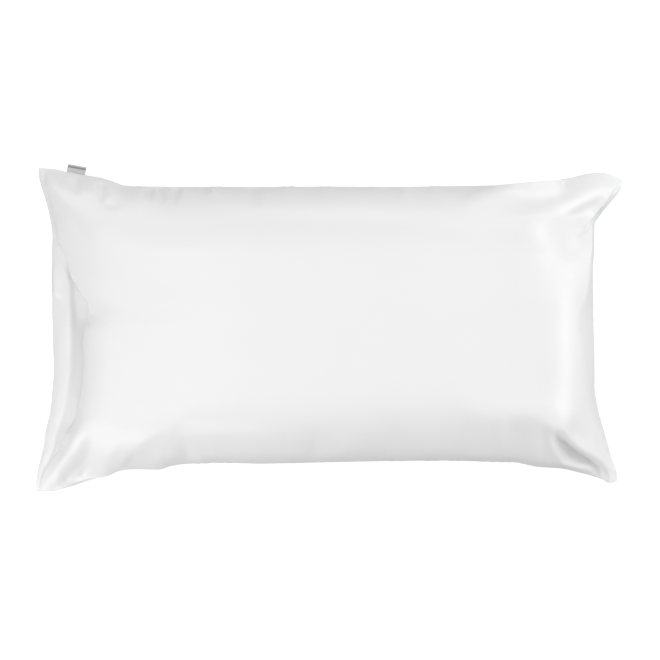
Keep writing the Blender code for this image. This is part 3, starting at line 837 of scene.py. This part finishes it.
def grey_tape(settings):
    """Woven polyester satin-faced tape: matt, finely ribbed across, with striped weave."""
    material, tree, shader = new_material("grey_woven_tape")
    cloth = add_node(tree, "ShaderNodeUVMap").outputs["UV"]
    parts = add_node(tree, "ShaderNodeSeparateXYZ", Vector=cloth)
    stripes = add_node(tree, "ShaderNodeValToRGB", Fac=parts.outputs["Y"])
    ramp = stripes.color_ramp
    ramp.interpolation = "LINEAR"
    base, stripe = list(settings.colour) + [1], list(settings.stripe_colour) + [1]
    ramp.elements[0].position, ramp.elements[0].color = 0.0, base
    ramp.elements[1].position, ramp.elements[1].color = 1.0, base
    for place, colour in zip(TAPE_STRIPE, (base, stripe, stripe, base)):
        ramp.elements.new(place).color = colour
    ribs = add_node(
        tree,
        "ShaderNodeTexWave",
        {"bands_direction": "Y"},
        Vector=cloth,
        Scale=12.0,
        Distortion=0.6,
        Detail=2.0,
    )
    bump = add_node(
        tree, "ShaderNodeBump", Strength=0.4, Distance=0.0001, Height=ribs.outputs["Fac"]
    )
    tree.links.new(stripes.outputs["Color"], shader.inputs["Base Color"])
    tree.links.new(bump.outputs["Normal"], shader.inputs["Normal"])
    shader.inputs["Roughness"].default_value = 0.6
    return material


def studio_floor(settings):
    """Matt white paper sweep."""
    material, tree, shader = new_material("matt_white_paper")
    shader.inputs["Base Color"].default_value = list(settings.floor_colour) + [1.0]
    shader.inputs["Roughness"].default_value = 1.0
    shader.inputs["Specular IOR Level"].default_value = 0.0
    seen = add_node(tree, "ShaderNodeLightPath").outputs["Is Camera Ray"]
    glow = add_node(
        tree, "ShaderNodeMath", {"operation": "MULTIPLY"}, Value=seen
    )
    glow.inputs[1].default_value = FLOOR_GLOW
    shader.inputs["Emission Color"].default_value = (1, 1, 1, 1)
    tree.links.new(glow.outputs["Value"], shader.inputs["Emission Strength"])
    return material


# ---------------------------------------------------------------- settings


class PILLOWCASE_PG_case(bpy.types.PropertyGroup):
    """Sizes and finish of the filled case"""

    colour: FloatVectorProperty(
        name="Satin colour",
        description="Colour of the satin",
        subtype="COLOR",
        size=3,
        min=0,
        max=1,
        default=srgb("#E7E7E7")[:3],
    )
    roughness: FloatProperty(
        name="Roughness",
        description="How far the satin spreads its gloss",
        subtype="FACTOR",
        min=0,
        max=1,
        default=0.36,
    )
    weave_depth: FloatProperty(
        name="Weave",
        description="How strongly the warp floats show",
        subtype="FACTOR",
        min=0,
        max=1,
        default=0.15,
    )
    crinkle_depth: FloatProperty(
        name="Crinkle",
        description="How strongly the slow crinkle shows",
        subtype="FACTOR",
        min=0,
        max=1,
        default=0.10,
    )
    rows: IntProperty(
        name="Rows", description="Grid rows across the case", min=20, default=180
    )
    end_columns: IntProperty(
        name="End columns",
        description="Grid columns in each slack end",
        min=5,
        default=30,
    )
    panel_columns: IntProperty(
        name="Panel columns",
        description="Grid columns in the front between the ends",
        min=20,
        default=200,
    )


class PILLOWCASE_PG_tab(bpy.types.PropertyGroup):
    """Sizes and finish of the tape tab"""

    colour: FloatVectorProperty(
        name="Tape colour",
        description="Ground colour of the tape",
        subtype="COLOR",
        size=3,
        min=0,
        max=1,
        default=srgb("#C4C4C4")[:3],
    )
    stripe_colour: FloatVectorProperty(
        name="Stripe colour",
        description="Colour of the woven stripe",
        subtype="COLOR",
        size=3,
        min=0,
        max=1,
        default=srgb("#8A8A8A")[:3],
    )
    width: FloatProperty(
        name="Tape width",
        description="Length of the tab along the seam",
        subtype="DISTANCE",
        unit="LENGTH",
        default=TAB_WIDTH * MM,
    )
    stand_out: FloatProperty(
        name="Stand-out",
        description="How far the folded tape stands out of the seam",
        subtype="DISTANCE",
        unit="LENGTH",
        default=TAB_STAND_OUT * MM,
    )


class PILLOWCASE_PG_stage(bpy.types.PropertyGroup):
    """The studio round the pillow"""

    floor_colour: FloatVectorProperty(
        name="Floor colour",
        description="Colour of the floor",
        subtype="COLOR",
        size=3,
        min=0,
        max=1,
        default=srgb("#BCBCBC")[:3],
    )
    light_power: FloatProperty(
        name="Light",
        description="Scales all the soft boxes together",
        subtype="FACTOR",
        min=0,
        max=4,
        default=1.0,
    )
    camera_height: FloatProperty(
        name="Camera height",
        description="How high the camera hangs over the floor",
        subtype="DISTANCE",
        unit="LENGTH",
        default=CAMERA_HEIGHT,
    )


# ---------------------------------------------------------------- operators


class PILLOWCASE_OT_case(bpy.types.Operator):
    """Add the filled satin case"""

    bl_idname = "pillowcase.add_case"
    bl_label = "Add filled case"

    def execute(self, context):
        settings = context.scene.pillowcase_case
        size = (settings.rows, settings.end_columns, settings.panel_columns)
        front, back = front_points(*size), back_points(*size)
        front += cloth_normals(front) * unevenness(front, FRONT_SEED)[..., None]
        rise = unevenness(back, BACK_SEED) * np.clip(back[..., 2] / BACK_FADE, 0, 1)
        back[..., 2] = np.maximum(back[..., 2] - rise, 0)
        front[..., 2] += RIM_THICKNESS / 2
        back[..., 2] = np.maximum(back[..., 2] - RIM_THICKNESS / 2, 0)
        bm = bmesh.new()
        seams = grid_mesh(bm, front * MM, faces_up=True)
        seams += grid_mesh(bm, back * MM, faces_up=False)
        bmesh.ops.bridge_loops(bm, edges=seams)
        bmesh.ops.recalc_face_normals(bm, faces=bm.faces)
        mesh = bpy.data.meshes.new("filled_case")
        bm.to_mesh(mesh)
        bm.free()
        mesh.shade_smooth()
        case = link_piece("filled_case", mesh, "pillowcase")
        case.data.materials.append(white_satin(settings))
        return {"FINISHED"}


def tab_section(stand_out):
    """The folded tape from one end to the other: distance out from the seam, and height."""
    radius = (TAB_LAYER_GAP + TAB_THICKNESS) / 2
    straight = stand_out - radius
    out = np.linspace(0, 1, TAB_LAYER_ROWS + 1)[:-1]
    back = np.linspace(1, 0, TAB_LAYER_ROWS + 1)[1:]
    section = [(straight * share, radius) for share in out]
    for turn in np.linspace(0, math.pi, TAB_TURN_ROWS + 1):
        section.append((straight + radius * math.sin(turn), radius * math.cos(turn)))
    return section + [(straight * share, -radius) for share in back]


class PILLOWCASE_OT_tab(bpy.types.Operator):
    """Add the folded tape tab"""

    bl_idname = "pillowcase.add_tab"
    bl_label = "Add tape tab"

    def execute(self, context):
        settings = context.scene.pillowcase_tab
        # properties keep single precision, so they are rounded back to the mm given
        width, stand_out = (
            round(size / MM, 3) for size in (settings.width, settings.stand_out)
        )
        half = width / 2 / (TOP_RIGHT.x - TOP_LEFT.x)
        ends = top_seam(np.array([TAB_ALONG - half, TAB_ALONG + half]))
        feet = ends[0] + np.linspace(0, 1, TAB_COLUMNS + 1)[:, None] * (ends[1] - ends[0])
        lean = math.atan2(ends[1, 1] - ends[0, 1], ends[1, 0] - ends[0, 0])
        outward = np.array([-math.sin(lean), math.cos(lean), 0.0])
        section = tab_section(stand_out)
        lengths = np.cumsum([0] + [math.dist(a, b) for a, b in zip(section, section[1:])])
        bm = bmesh.new()
        made = bmesh.ops.create_grid(
            bm, x_segments=TAB_COLUMNS, y_segments=len(section) - 1, size=0.5
        )
        uv = bm.loops.layers.uv.new("cloth")
        for index, vert in enumerate(made["verts"]):
            row, place = divmod(index, TAB_COLUMNS + 1)
            out, height = section[row]
            point = feet[place] + outward * (TAB_CLEARANCE + out)
            vert.co = Vector((point[0], point[1], point[2] + height)) * MM
            for loop in vert.link_loops:
                loop[uv].uv = (place / TAB_COLUMNS, lengths[row] / lengths[-1])
        bmesh.ops.recalc_face_normals(bm, faces=bm.faces)
        mesh = bpy.data.meshes.new("folded_tape")
        bm.to_mesh(mesh)
        bm.free()
        tab = link_piece("folded_tape", mesh, "side_tab")
        tab.data.materials.append(grey_tape(settings))
        thicken = tab.modifiers.new("tape_thickness", "SOLIDIFY")
        thicken.thickness = TAB_THICKNESS * MM
        thicken.offset = 0
        return {"FINISHED"}


class PILLOWCASE_OT_stage(bpy.types.Operator):
    """Add the floor, the soft boxes and the camera"""

    bl_idname = "pillowcase.add_stage"
    bl_label = "Add studio"

    def execute(self, context):
        settings = context.scene.pillowcase_stage
        scene = context.scene
        bpy.ops.mesh.primitive_plane_add(size=FLOOR_SIZE)
        floor = context.object
        floor.name = "studio_floor"
        floor.data.materials.append(studio_floor(settings))
        for box in SOFT_BOXES:
            self.add_soft_box(scene, box, settings.light_power)
        world = bpy.data.worlds.new("studio_air")
        scene.world = world
        world.use_nodes = True
        air = world.node_tree.nodes["Background"]
        air.inputs["Color"].default_value = (1, 1, 1, 1)
        air.inputs["Strength"].default_value = SKY_STRENGTH
        lens = bpy.data.cameras.new("camera")
        camera = bpy.data.objects.new("camera", lens)
        scene.collection.objects.link(camera)
        lens.sensor_width = SENSOR_WIDTH
        lens.lens = SENSOR_WIDTH * (settings.camera_height - SEAM_HEIGHT) / PHOTO_WIDTH
        camera.location = (*CAMERA_CENTRE, settings.camera_height)
        scene.camera = camera
        scene.view_settings.view_transform = "Standard"
        scene.view_settings.look = "None"
        return {"FINISHED"}

    def add_soft_box(self, scene, box, power):
        name = f"soft_box_{box.azimuth}_{box.elevation}"
        light = bpy.data.lights.new(name, "AREA")
        light.shape = "SQUARE"
        light.size = box.size
        light.energy = box.watts * power
        lamp = bpy.data.objects.new(name, light)
        scene.collection.objects.link(lamp)
        turn, lift = math.radians(box.azimuth), math.radians(box.elevation)
        away = Vector(
            (
                math.cos(turn) * math.cos(lift),
                math.sin(turn) * math.cos(lift),
                math.sin(lift),
            )
        )
        lamp.location = Vector(SOFT_BOX_AIM) + away * SOFT_BOX_DISTANCE
        lamp.rotation_mode = "QUATERNION"
        lamp.rotation_quaternion = (-away).to_track_quat("-Z", "Y")


class PILLOWCASE_PT_panel(bpy.types.Panel):
    """Builds the pillowcase piece by piece"""

    bl_idname = "PILLOWCASE_PT_panel"
    bl_label = "Pillowcase"
    bl_space_type = "VIEW_3D"
    bl_region_type = "UI"
    bl_category = "Pillowcase"

    def draw(self, context):
        for operator, group in PIECES:
            box = self.layout.box()
            box.operator(operator.bl_idname)
            settings = getattr(context.scene, group)
            for name in settings.__annotations__:
                box.prop(settings, name)


PIECES = (
    (PILLOWCASE_OT_case, "pillowcase_case"),
    (PILLOWCASE_OT_tab, "pillowcase_tab"),
    (PILLOWCASE_OT_stage, "pillowcase_stage"),
)
GROUPS = (
    ("pillowcase_case", PILLOWCASE_PG_case),
    ("pillowcase_tab", PILLOWCASE_PG_tab),
    ("pillowcase_stage", PILLOWCASE_PG_stage),
)
CLASSES = tuple(group for _, group in GROUPS) + (
    PILLOWCASE_OT_case,
    PILLOWCASE_OT_tab,
    PILLOWCASE_OT_stage,
    PILLOWCASE_PT_panel,
)


def register():
    for cls in CLASSES:
        bpy.utils.register_class(cls)
    for name, group in GROUPS:
        setattr(bpy.types.Scene, name, PointerProperty(type=group))


def unregister():
    for name, _ in GROUPS:
        delattr(bpy.types.Scene, name)
    for cls in reversed(CLASSES):
        bpy.utils.unregister_class(cls)


def main():
    register()
    bpy.ops.pillowcase.add_case()
    bpy.ops.pillowcase.add_tab()
    bpy.ops.pillowcase.add_stage()


if __name__ == "__main__":
    main()
